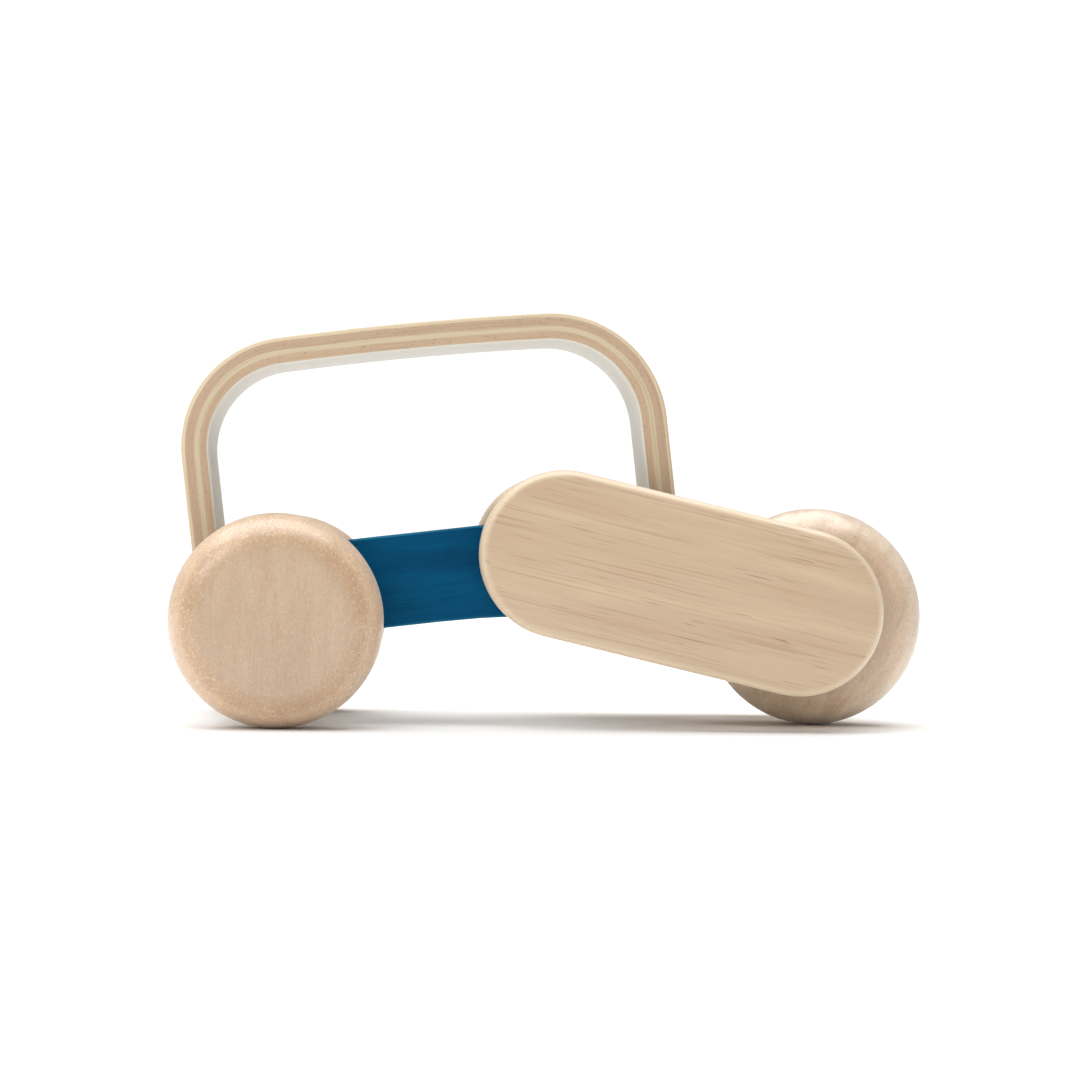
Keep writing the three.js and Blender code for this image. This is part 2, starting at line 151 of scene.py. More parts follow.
class Sketch:
    """A material's node tree in the making, with the few patterns that wood is drawn with."""

    def __init__(self, name: str, home: Matrix, arris_start: float = 0.9) -> None:
        """Starts an empty material whose patterns lie along a piece's own axes.

        Args:
            name: The material's name.
            home: Placement of the piece's own axes in the row frame.
            arris_start: How far a face may lean from the Y axis before it counts as all arris.
        """
        self.material = bpy.data.materials.new(name)
        self.material.use_nodes = True
        self.tree = self.material.node_tree
        self.tree.nodes.clear()
        self.place = add_node(self.tree, "TexCoord")
        self.home = home
        self.flatness = self.face_mask(arris_start)

    def face_mask(self, low: float) -> bpy.types.NodeSocket:
        """One on faces square to the Y axis, falling to zero over a rounded arris.

        Args:
            low: Size of the normal's Y part at which the mask reaches zero.

        Returns:
            The mask.
        """
        parts = add_node(self.tree, "SeparateXYZ", {0: self.place.outputs["Normal"]})
        size = add_node(self.tree, "Math", {0: parts.outputs["Y"]}, operation="ABSOLUTE")
        return self.between(size.outputs[0], low, 0.995)

    def own_place(self, cell_mm: Sequence[float]) -> bpy.types.NodeSocket:
        """Position along the piece's own axes, counted in pattern cells.

        Args:
            cell_mm: Size of one cell along its own x, y and z.

        Returns:
            The scaled vector.
        """
        mapping = add_node(
            self.tree,
            "Mapping",
            {
                "Vector": self.place.outputs["Object"],
                "Location": self.home.translation,
                "Rotation": self.home.to_euler(),
                "Scale": [size * MM for size in cell_mm],
            },
            vector_type="TEXTURE",
        )
        return mapping.outputs[0]

    def cloud(
        self,
        vector: bpy.types.NodeSocket,
        detail: float = 2.0,
        warp: float = 0.0,
    ) -> bpy.types.NodeSocket:
        """Soft random value, one lump to a cell.

        Args:
            vector: Position in cells.
            detail: Octaves of finer lumps.
            warp: Bending of the lumps.

        Returns:
            A value round 0.5.
        """
        settings = {"Vector": vector, "Scale": 1.0, "Detail": detail, "Distortion": warp}
        return add_node(self.tree, "TexNoise", settings).outputs["Fac"]

    def between(self, value: bpy.types.NodeSocket, low: float, high: float) -> bpy.types.NodeSocket:
        """Value stretched so that low becomes zero and high becomes one."""
        limits = {"Value": value, "From Min": low, "From Max": high}
        return add_node(self.tree, "MapRange", limits).outputs[0]

    def times(self, first: object, second: object) -> bpy.types.NodeSocket:
        """Product of two values."""
        return add_node(self.tree, "Math", {0: first, 1: second}, operation="MULTIPLY").outputs[0]

    def blend(self, share: object, under: object, over: object) -> bpy.types.NodeSocket:
        """Mix of two colours, each a hex code or a socket.

        Args:
            share: How much of the second colour shows.
            under: The first colour.
            over: The second colour.

        Returns:
            The mixed colour.
        """
        colours = [linear(tone) if isinstance(tone, str) else tone for tone in (under, over)]
        inputs = {0: share, 6: colours[0], 7: colours[1]}
        return add_node(self.tree, "Mix", inputs, data_type="RGBA").outputs[2]

    def finish(
        self,
        colour: bpy.types.NodeSocket,
        roughness: object,
        height: bpy.types.NodeSocket,
        depth_mm: float,
        **shader: object,
    ) -> bpy.types.Material:
        """Closes the tree with a surface shader.

        Args:
            colour: Base colour.
            roughness: A number or a value socket.
            height: What the bump follows.
            depth_mm: How deep the bump is.
            **shader: Further plain values for the shader, with _ for a space.

        Returns:
            The finished material.
        """
        bump = add_node(
            self.tree,
            "Bump",
            {"Height": height, "Strength": 0.6, "Distance": depth_mm * MM},
        )
        inputs = {"Base Color": colour, "Roughness": roughness, "Normal": bump.outputs[0]}
        inputs.update({key.replace("_", " "): value for key, value in shader.items()})
        surface = add_node(self.tree, "BsdfPrincipled", inputs)
        add_node(self.tree, "OutputMaterial", {"Surface": surface.outputs[0]})
        return self.material


# ------------------------------------------------------------------ finishes


@dataclass(frozen=True)
class PlanedRubberwood:
    """Rubberwood, planed, sanded and sealed with thin satin lacquer.

    Tan faces carry long brown growth lines and short dark open pores; the rounded arris cuts
    across the fibres, so it looks paler and plainer. Real pores are about 0.2 mm wide and are
    drawn a little coarser, so that they show. The fuzz is the pale sheen of sanded fibre ends.
    """

    name: str = "planed_rubberwood"
    pale: str = "#D2BB9B"
    tan: str = "#C3A688"
    line: str = "#A98366"
    pore: str = "#7E5539"
    arris: str = "#DDC8AA"
    figure_mm: tuple[float, float, float] = (80.0, 12.0, 8.0)
    line_mm: tuple[float, float, float] = (48.0, 4.0, 0.75)
    pore_mm: tuple[float, float, float] = (13.0, 0.9, 0.36)
    fibre_mm: tuple[float, float, float] = (14.0, 0.6, 0.35)
    patch_mm: tuple[float, float, float] = (18.0, 9.0, 4.0)
    fuzz: float = 0.18

    def make(self, home: Matrix) -> bpy.types.Material:
        """Builds a material whose grain runs along the piece's own x axis.

        Args:
            home: Placement of those axes in the row frame.

        Returns:
            The finished material.
        """
        sketch = Sketch(self.name, home, arris_start=0.78)
        figure = sketch.cloud(sketch.own_place(self.figure_mm), 3.0, 0.6)
        lines = sketch.cloud(sketch.own_place(self.line_mm), 2.0, 0.35)
        pores = sketch.cloud(sketch.own_place(self.pore_mm), 1.0)
        fibres = sketch.cloud(sketch.own_place(self.fibre_mm), 2.0)
        patches = sketch.cloud(sketch.own_place(self.patch_mm), 1.0)
        wood = sketch.blend(sketch.between(figure, 0.3, 0.72), self.tan, self.pale)
        wood = sketch.blend(sketch.times(sketch.between(fibres, 0.42, 0.7), 0.32), wood, self.tan)
        wood = sketch.blend(sketch.times(sketch.between(lines, 0.55, 0.68), 0.5), wood, self.line)
        open_pores = sketch.between(pores, 0.66, 0.72)
        bunched = sketch.times(open_pores, sketch.between(patches, 0.36, 0.6))
        wood = sketch.blend(sketch.times(bunched, 0.6), wood, self.pore)
        edge = sketch.blend(sketch.times(sketch.between(fibres, 0.45, 0.75), 0.35), self.arris, self.tan)
        edge = sketch.blend(sketch.times(bunched, 0.35), edge, self.pore)
        colour = sketch.blend(sketch.flatness, edge, wood)
        roughness = sketch.between(fibres, -0.7, 2.8)
        return sketch.finish(
            colour, roughness, fibres, 0.05, Specular_IOR_Level=0.7, Sheen_Weight=self.fuzz
        )


@dataclass(frozen=True)
class TurnedRubberwood:
    """Rubberwood turned on a lathe, sanded and sealed.

    The flat face shows upright grain and soft grey-brown shading; the round rim turns through
    end grain, which shows as fine pale flecks, drawn a little coarser than real ones. The fuzz
    is the pale sheen of sanded fibre ends.
    """

    name: str = "turned_rubberwood"
    face: str = "#C6AB8F"
    shoulder: str = "#C5A280"
    rim: str = "#D6B696"
    shade: str = "#AC8D70"
    fleck: str = "#EFD4AC"
    pore: str = "#A2774F"
    fleck_share: float = 1.0
    figure_share: float = 0.4
    figure_mm: tuple[float, float, float] = (8.0, 10.0, 30.0)
    grain_mm: tuple[float, float, float] = (0.7, 1.0, 7.0)
    mottle_mm: tuple[float, float, float] = (1.0, 1.0, 1.6)
    fleck_mm: tuple[float, float, float] = (0.52, 0.52, 0.62)
    fuzz: float = 0.3

    def make(self, home: Matrix) -> bpy.types.Material:
        """Builds a material whose grain runs along the wheel's own z axis.

        Args:
            home: Placement of those axes in the row frame.

        Returns:
            The finished material.
        """
        sketch = Sketch(self.name, home, arris_start=0.72)
        figure = sketch.cloud(sketch.own_place(self.figure_mm), 3.0, 0.8)
        grain = sketch.cloud(sketch.own_place(self.grain_mm), 2.0)
        mottle = sketch.cloud(sketch.own_place(self.mottle_mm), 3.0)
        flecks = sketch.cloud(sketch.own_place(self.fleck_mm), 1.0)
        zones = [(0.0, self.rim), (0.35, self.shoulder), (0.72, self.shoulder), (1.0, self.face)]
        wood = add_node(sketch.tree, "ValToRGB", {0: sketch.flatness}, stops=zones).outputs["Color"]
        bands = sketch.times(sketch.between(figure, 0.62, 0.34), self.figure_share)
        wood = sketch.blend(bands, wood, self.shade)
        wood = sketch.blend(sketch.times(sketch.between(mottle, 0.48, 0.72), 0.22), wood, self.pore)
        wood = sketch.blend(sketch.times(sketch.between(grain, 0.54, 0.74), 0.22), wood, self.pore)
        strength = {"Value": sketch.flatness, "To Min": 0.8 * self.fleck_share, "To Max": 0.28}
        share = add_node(sketch.tree, "MapRange", strength)
        bright = sketch.times(sketch.between(flecks, 0.57, 0.68), share.outputs[0])
        colour = sketch.blend(bright, wood, self.fleck)
        roughness = sketch.between(grain, -0.6, 2.9)
        return sketch.finish(
            colour, roughness, grain, 0.04, Specular_IOR_Level=0.9, Sheen_Weight=self.fuzz
        )


@dataclass(frozen=True)
class BentPlywood:
    """Beech-faced plywood bent in a press and sanded, under a matt clear coat.

    The sanded edge shows the plies in turn, long grain as streaks and end grain as dark specks,
    with soft seams between; the inner face is paler and greyer than the outer one.
    """

    name: str = "bent_plywood"
    thickness_mm: float = 8.0
    plies: tuple[str, ...] = ("#DECBAD", "#BFA58B", "#CFBFA1", "#C5AA8D", "#D8D3C6")
    bounds: tuple[float, ...] = (0.0, 0.14, 0.46, 0.65, 0.96)
    seam: float = 0.02
    streak: str = "#A98A6A"
    outer: str = "#D3BF9F"
    inner: str = "#E2E0D8"
    pore: str = "#7C5A40"
    streak_mm: tuple[float, float, float] = (22.0, 2.0, 0.35)
    speck_mm: tuple[float, float, float] = (0.7, 2.0, 0.4)
    face_mm: tuple[float, float, float] = (26.0, 0.9, 2.0)
    wander_mm: tuple[float, float, float] = (16.0, 30.0, 30.0)
    wander_share: float = 0.05

    def cells(self, sketch: Sketch, cell_mm: Sequence[float]) -> bpy.types.NodeSocket:
        """Position along the hoop, across it and through its plies, counted in cells.

        Args:
            sketch: The material in the making.
            cell_mm: Size of one cell along, across and through.

        Returns:
            The scaled vector.
        """
        place = add_node(sketch.tree, "Attribute", attribute_name="ply_place")
        size = [cell * MM for cell in cell_mm]
        scaled = {0: place.outputs["Vector"], 1: size}
        return add_node(sketch.tree, "VectorMath", scaled, operation="DIVIDE").outputs[0]

    def make(self, home: Matrix) -> bpy.types.Material:
        """Builds a material that follows the ply_place attribute of the hoop's mesh.

        Args:
            home: Placement of those axes in the row frame.

        Returns:
            The finished material.
        """
        sketch = Sketch(self.name, home)
        streaks = sketch.cloud(self.cells(sketch, self.streak_mm), 2.0, 0.2)
        specks = sketch.cloud(self.cells(sketch, self.speck_mm), 1.0)
        face_grain = sketch.cloud(self.cells(sketch, self.face_mm), 3.0, 0.3)
        wander = sketch.cloud(self.cells(sketch, self.wander_mm), 1.0)
        through = add_node(
            sketch.tree,
            "SeparateXYZ",
            {0: self.cells(sketch, [self.thickness_mm] * 3)},
        ).outputs["Z"]
        sway = add_node(sketch.tree, "Math", {0: wander, 1: 0.5}, operation="SUBTRACT").outputs[0]
        depth = add_node(
            sketch.tree,
            "Math",
            {0: sketch.times(sway, self.wander_share), 1: through},
            operation="ADD",
        ).outputs[0]
        stops: list[tuple[float, object]] = []
        for index, start in enumerate(self.bounds):
            if index:
                stops.append((start - self.seam, self.plies[index - 1]))
            stops.append((start + self.seam, self.plies[index]))
        layers = add_node(sketch.tree, "ValToRGB", {0: depth}, stops=stops)
        crosswise = [(0.0, 0.0)]
        for index, start in enumerate(self.bounds[1:], 1):
            crosswise.append((start, float(index % 2)))
        cross_plies = add_node(sketch.tree, "ValToRGB", {0: depth}, stops=crosswise)
        cross_plies.color_ramp.interpolation = "CONSTANT"
        edge = layers.outputs["Color"]
        edge = sketch.blend(sketch.times(sketch.between(streaks, 0.5, 0.72), 0.4), edge, self.streak)
        dark = sketch.times(sketch.between(specks, 0.64, 0.7), cross_plies.outputs["Color"])
        edge = sketch.blend(sketch.times(dark, 0.3), edge, self.pore)
        side = add_node(sketch.tree, "Math", {0: through, 1: 0.5}, operation="GREATER_THAN")
        face = sketch.blend(side.outputs[0], self.outer, self.inner)
        face = sketch.blend(sketch.times(sketch.between(face_grain, 0.52, 0.76), 0.25), face, self.streak)
        colour = sketch.blend(sketch.flatness, face, edge)
        roughness = sketch.between(streaks, -1.6, 1.9)
        return sketch.finish(colour, roughness, streaks, 0.04, Specular_IOR_Level=0.35)


@dataclass(frozen=True)
class BlueStainedPlywood:
    """Plywood dyed with deep blue water stain under a satin clear coat.

    The stain soaks unevenly, so the grain shows as darker lines; the sanded arrises carry
    the teal of a patchy painted highlight.
    """

    name: str = "blue_stained_plywood"
    deep: str = "#004267"
    blue: str = "#00537C"
    dark: str = "#003453"
    # painted highlight: the teal laid on the arrises
    highlight_teal: str = "#1F7390"
    figure_mm: tuple[float, float, float] = (50.0, 9.0, 9.0)
    grain_mm: tuple[float, float, float] = (9.0, 1.0, 0.4)

    def make(self, home: Matrix) -> bpy.types.Material:
        """Builds a material whose grain runs along the rail's own x axis.

        Args:
            home: Placement of those axes in the row frame.

        Returns:
            The finished material.
        """
        sketch = Sketch(self.name, home)
        figure = sketch.cloud(sketch.own_place(self.figure_mm), 2.0, 0.4)
        grain = sketch.cloud(sketch.own_place(self.grain_mm), 3.0)
        colour = sketch.blend(sketch.between(figure, 0.3, 0.7), self.deep, self.blue)
        lines = sketch.times(sketch.between(grain, 0.46, 0.76), 0.4)
        colour = sketch.blend(lines, colour, self.dark)
        # painted highlight: teal on every arris, made patchy by the figure, standing in for light catching the
        # edges
        inverse = add_node(sketch.tree, "Math", {0: 1.0, 1: sketch.flatness}, operation="SUBTRACT")
        painted_highlight = sketch.times(inverse.outputs[0], sketch.between(figure, 0.38, 0.6))
        colour = sketch.blend(sketch.times(painted_highlight, 0.7), colour, self.highlight_teal)
        roughness = sketch.between(grain, -0.6, 2.2)
        return sketch.finish(colour, roughness, grain, 0.05, Specular_IOR_Level=0.06)


@dataclass(frozen=True)
class PlainStock:
    """A bought-in stock material with one grain: dowel rod, steel rod, nylon tube or cork sheet."""

    name: str
    light: str
    dark: str
    grain_mm: tuple[float, float, float]
    roughness: float
    metallic: float = 0.0
    depth_mm: float = 0.03

    def make(self, home: Matrix) -> bpy.types.Material:
        """Builds a material with its grain along the piece's own axes.

        Args:
            home: Placement of those axes in the row frame.

        Returns:
            The finished material.
        """
        sketch = Sketch(self.name, home)
        grain = sketch.cloud(sketch.own_place(self.grain_mm), 3.0)
        colour = sketch.blend(sketch.between(grain, 0.35, 0.68), self.light, self.dark)
        spread = self.roughness * 0.35
        roughness = add_node(
            sketch.tree,
            "MapRange",
            {"Value": grain, "To Min": self.roughness - spread, "To Max": self.roughness + spread},
        )
        return sketch.finish(colour, roughness.outputs[0], grain, self.depth_mm, Metallic=self.metallic)


class Stock(Enum):
    """Stock materials of the small parts."""

    # birch dowel, turned by the metre: pale, with fibres along the rod
    DOWEL = PlainStock("birch_dowel", "#E4CDA8", "#CBAA80", (0.8, 9.0, 0.8), 0.6)
    # cross-grain end of the same dowel where it runs along the rails
    LEG_DOWEL = PlainStock("birch_dowel_end", "#D9BC92", "#B8946A", (0.5, 0.5, 0.5), 0.65)
    # drawn steel rod: neutral grey with fine lines along its length
    STEEL = PlainStock("drawn_steel", "#C4C6C8", "#A2A5A8", (0.2, 6.0, 0.2), 0.3, 1.0, 0.005)
    # natural nylon: milky white, faintly mottled
    NYLON = PlainStock("natural_nylon", "#F0ECE2", "#E2DCCE", (3.0, 3.0, 3.0), 0.42, 0.0, 0.01)
    # pressed cork: tan granules a millimetre or two across
    CORK = PlainStock("pressed_cork", "#C99A68", "#8C6038", (1.2, 1.2, 1.2), 0.9, 0.0, 0.2)


# ------------------------------------------------------------------ mesh helpers


def close_piece(
    mesh_maker: bmesh.types.BMesh,
    name: str,
    home: Matrix,
    finish: bpy.types.Material,
    sharp_angle: float = math.radians(40),
    caps: Sequence[bmesh.types.BMFace] = (),
) -> bpy.types.Object:
    """Turns a finished bmesh into a scene object in the row frame.

    Args:
        mesh_maker: The geometry along the piece's own axes, in metres. It is freed.
        name: The object's name.
        home: Placement of those axes in the row frame.
        finish: Its material.
        sharp_angle: Edges steeper than this stay crisp.
        caps: Flat faces that keep a flat shade up to their edge.

    Returns:
        The new object, its mesh in row-frame coordinates.
    """
    bmesh.ops.recalc_face_normals(mesh_maker, faces=mesh_maker.faces)
    for face in mesh_maker.faces:
        face.smooth = face not in caps
    mesh = bpy.data.meshes.new(name)
    mesh_maker.to_mesh(mesh)
    mesh_maker.free()
    mesh.transform(home)
    mesh.materials.append(finish)
    mesh.set_sharp_from_angle(angle=sharp_angle)
    piece = bpy.data.objects.new(name, mesh)
    bpy.context.scene.collection.objects.link(piece)
    return piece


def attach(piece: bpy.types.Object, node: str) -> None:
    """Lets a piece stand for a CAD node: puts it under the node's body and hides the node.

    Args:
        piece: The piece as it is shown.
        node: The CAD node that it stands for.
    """
    body = next(name for name, nodes in frame["record"]["behaviour"]["bodies"].items() if node in nodes)
    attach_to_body(piece, body)
    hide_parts(node)
    log.info("%s: %d faces", piece.name, len(piece.data.polygons))


def dress(node: str, finish: bpy.types.Material) -> None:
    """Gives a kept CAD node a new material.

    Args:
        node: The CAD node.
        finish: Its new material.
    """
    materials = frame["nodes"][node].data.materials
    materials.clear()
    materials.append(finish)


def join_rings(mesh_maker: bmesh.types.BMesh, rings: Sequence[Sequence[bmesh.types.BMVert]]) -> None:
    """Spans quads between closed rings of vertices.

    Args:
        mesh_maker: The geometry that the vertices belong to.
        rings: The rings in order, each with the same number of vertices.
    """
    for lower, upper in zip(rings, rings[1:]):
        count = len(lower)
        for index in range(count):
            after = (index + 1) % count
            mesh_maker.faces.new((lower[index], lower[after], upper[after], upper[index]))


def lathe(profile: Sequence[tuple[float, float]], segments: int) -> bmesh.types.BMesh:
    """Solid turned about the y axis.

    Args:
        profile: Radius and y of each step, in metres. It starts and ends on the axis, at
            radius zero, or else it is a ring and closes on itself.
        segments: Steps round the axis.

    Returns:
        The closed geometry.
    """
    solid = bmesh.new()
    on_axis = profile[0][0] == 0
    rings = []
    for radius, y in profile[1:-1] if on_axis else profile:
        turns = (index / segments * math.tau for index in range(segments))
        rings.append([solid.verts.new((radius * math.cos(t), y, radius * math.sin(t))) for t in turns])
    join_rings(solid, rings if on_axis else [*rings, rings[0]])
    if on_axis:
        for tip, ring in ((profile[0], rings[0]), (profile[-1], rings[-1])):
            middle = solid.verts.new((0, tip[1], 0))
            for index in range(segments):
                solid.faces.new((middle, ring[index], ring[(index + 1) % segments]))
    return solid


def quarter(steps: int) -> Iterable[tuple[float, float]]:
    """Cosine and sine at even steps from zero to a right angle.

    Args:
        steps: Number of steps.

    Yields:
        The cosine and sine of each angle.
    """
    for step in range(steps + 1):
        angle = step / steps * math.pi / 2
        yield math.cos(angle), math.sin(angle)


# ------------------------------------------------------------------ wheels


@dataclass
class BunWheel:
    """A bun-shaped wooden wheel with two flat faces and a fully rounded rim."""

    node: str
    radius: float = 30.5 * MM
    flat_radius: float = 18.8 * MM
    thickness: float = 24.0 * MM
    bore_radius: float = 3.3 * MM
    bore_depth: Optional[float] = 19.3 * MM
    bore_side: int = 1
    segments: int = 144
    rim_steps: int = 16
    grain_lean: float = 0.0
    finish: TurnedRubberwood = TurnedRubberwood()

    def rim(self) -> list[tuple[float, float]]:
        """Draws the rounded rim.

        Returns:
            Radius and y of each step, from the low flat face to the high one.
        """
        half = self.thickness / 2
        reach = self.radius - self.flat_radius
        upper = [(self.flat_radius + reach * c, half * s) for c, s in quarter(self.rim_steps)]
        return [(radius, -y) for radius, y in reversed(upper)] + upper[1:]

    def profile(self) -> list[tuple[float, float]]:
        """Draws the whole section, with its blind or through bore.

        Returns:
            Radius and y of each step, ready for the lathe.
        """
        half = self.thickness / 2
        if self.bore_depth is None:
            return [(self.bore_radius, -half), *self.rim(), (self.bore_radius, half)]
        end = half - self.bore_depth
        bore = [(self.bore_radius, half), (self.bore_radius, end), (0.0, end)]
        section = [(0.0, -half), *self.rim(), *bore]
        return [(radius, y * self.bore_side) for radius, y in section]

    def build(self) -> bpy.types.Object:
        """Turns the wheel and puts it in place of its CAD node.

        Returns:
            The new wheel.
        """
        home = Matrix.Translation(centre_of(self.node))
        finish = self.finish.make(home @ Matrix.Rotation(self.grain_lean, 4, "Y"))
        piece = close_piece(lathe(self.profile(), self.segments), f"{self.node}_turned", home, finish)
        attach(piece, self.node)
        return piece


# ------------------------------------------------------------------ hand hoop


@dataclass
class HandHoop:
    """The bent-plywood hoop: two legs, two tight bends and a slightly crowned top."""

    thickness: float = 8.0 * MM
    width: float = 34.0 * MM
    rear: float = -23.1 * MM
    front: float = 118.9 * MM
    crest_x: float = 36.0 * MM
    crest_z: float = 81.56 * MM
    crown_radius: float = 936.0 * MM
    rear_bend: float = 32.0 * MM
    front_bend: float = 34.0 * MM
    rear_foot: float = -8.5 * MM
    front_foot: float = 5.8 * MM
    arris: float = 0.8 * MM
    arris_steps: int = 4
    leg_steps: int = 8
    bend_steps: int = 24
    home: Matrix = field(default_factory=lambda: pitched(REAR_AXLE, FRAME_PITCH))

    def stations(self) -> list[tuple[Vector, Vector]]:
        """Walks along the outer face from the rear foot to the front one.

        Returns:
            Points along it, each with the way to the inner face.
        """
        low = self.crest_z - self.crown_radius
        rear_x = self.rear + self.rear_bend
        front_x = self.front - self.front_bend
        rear_reach = self.crown_radius - self.rear_bend
        front_reach = self.crown_radius - self.front_bend
        rear_turn = math.acos((rear_x - self.crest_x) / rear_reach)
        front_turn = math.acos((front_x - self.crest_x) / front_reach)
        rear_z = low + rear_reach * math.sin(rear_turn)
        front_z = low + front_reach * math.sin(front_turn)
        arcs = [
            (rear_x, rear_z, self.rear_bend, math.pi, rear_turn),
            (self.crest_x, low, self.crown_radius, rear_turn, front_turn),
            (front_x, front_z, self.front_bend, front_turn, 0.0),
        ]
        places = []
        for step in range(self.leg_steps):
            height = self.rear_foot + (rear_z - self.rear_foot) * step / self.leg_steps
            places.append((Vector((self.rear, 0, height)), Vector((1, 0, 0))))
        for x, z, radius, start, end in arcs:
            for step in range(self.bend_steps):
                turn = start + (end - start) * step / self.bend_steps
                outwards = Vector((math.cos(turn), 0, math.sin(turn)))
                places.append((Vector((x, 0, z)) + outwards * radius, -outwards))
        for step in range(self.leg_steps + 1):
            height = front_z + (self.front_foot - front_z) * step / self.leg_steps
            places.append((Vector((self.front, 0, height)), Vector((-1, 0, 0))))
        return places

    def section(self) -> list[tuple[float, float]]:
        """Draws the section with its rounded corners.

        Returns:
            Depth from the outer face and y of each point round it.
        """
        bend = quarter(self.arris_steps)
        corner = [(self.arris * (1 - c), self.arris * (1 - s)) for c, s in bend]
        half = self.width / 2
        near_outer = [(depth, -half + y) for depth, y in corner]
        near_inner = [(self.thickness - depth, y) for depth, y in reversed(near_outer)]
        near = near_outer + near_inner
        return near + [(depth, -y) for depth, y in reversed(near)]

    def build(self) -> bpy.types.Object:
        """Sweeps the section along the hoop and notes each point's place among the plies.

        Returns:
            The new hoop.
        """
        solid = bmesh.new()
        ply_place = solid.verts.layers.float_vector.new("ply_place")
        run = 0.0
        rings = []
        stations = self.stations()
        for index, (outer, inwards) in enumerate(stations):
            if index:
                run += (outer - stations[index - 1][0]).length
            ring = []
            for depth, y in self.section():
                point = solid.verts.new(outer + inwards * depth + Vector((0, y, 0)))
                point[ply_place] = Vector((run, y, depth))
                ring.append(point)
            rings.append(ring)
        join_rings(solid, rings)
        solid.faces.new(rings[0])
        solid.faces.new(rings[-1])
        finish = BentPlywood().make(self.home)
        piece = close_piece(solid, "handle_hoop_bent", self.home, finish)
        attach(piece, "handle_hoop")
        return piece


# ------------------------------------------------------------------ frame


@dataclass
class RailFrame:
    """Side rails, cross blocks and the dowels and bushes that hold them together."""

    plug_rise: float = 0.15 * MM
    plug_length: float = 20.0 * MM
    plug_radius: float = 3.0 * MM
    plug_segments: int = 40
    dome_steps: int = 6
    home: Matrix = field(default_factory=lambda: pitched(REAR_AXLE, FRAME_PITCH))

    def leg_dowel(self, node: str, outwards: int, finish: bpy.types.Material) -> bpy.types.Object:
        """A hoop-leg dowel with a domed end that stands just proud of the leg.

        Args:
            node: The CAD dowel that it stands for.
            outwards: +1 if its outer end faces forward, -1 if backward.
            finish: Its material.

        Returns:
            The new dowel.
        """
        centre = centre_of(node)
        half = self.plug_length / 2
        radius = self.plug_radius
        dome = [(radius * c, half + self.plug_rise * s) for c, s in quarter(self.dome_steps)]
        profile = [(0.0, -half), (radius, -half), *dome[:-1], (0.0, dome[-1][1])]
        turn = Matrix.Rotation(-math.pi / 2 * outwards, 4, "Z")
        home = Matrix.Translation(centre) @ Matrix.Rotation(FRAME_PITCH, 4, "Y") @ turn
        piece = close_piece(lathe(profile, self.plug_segments), f"{node}_plug", home, finish)
        attach(piece, node)
        return piece

    def build(self) -> None:
        """Dresses the kept frame nodes and makes the leg dowels."""
        stain = BlueStainedPlywood().make(self.home)
        across = self.home @ Matrix.Rotation(math.pi / 2, 4, "Z")
        block = PlanedRubberwood(name="cross_block_rubberwood").make(across)
        dowel = Stock.DOWEL.value.make(self.home)
        plug = Stock.LEG_DOWEL.value.make(self.home)
        nylon = Stock.NYLON.value.make(self.home)
        for end in ("rear", "front"):
            dress(f"{end}_cross_block", block)
        for label in SIDES:
            dress(f"rail_{label}", stain)
            for index in range(1, 5):
                dress(f"rail_dowel_{label}_{index}", dowel)
            dress(f"rear_axle_bush_{label}", nylon)
            dress(f"pivot_bush_{label}", nylon)
            self.leg_dowel(f"rear_leg_dowel_{label}", -1, plug)
            self.leg_dowel(f"front_leg_dowel_{label}", 1, plug)


# ------------------------------------------------------------------ rocking arm


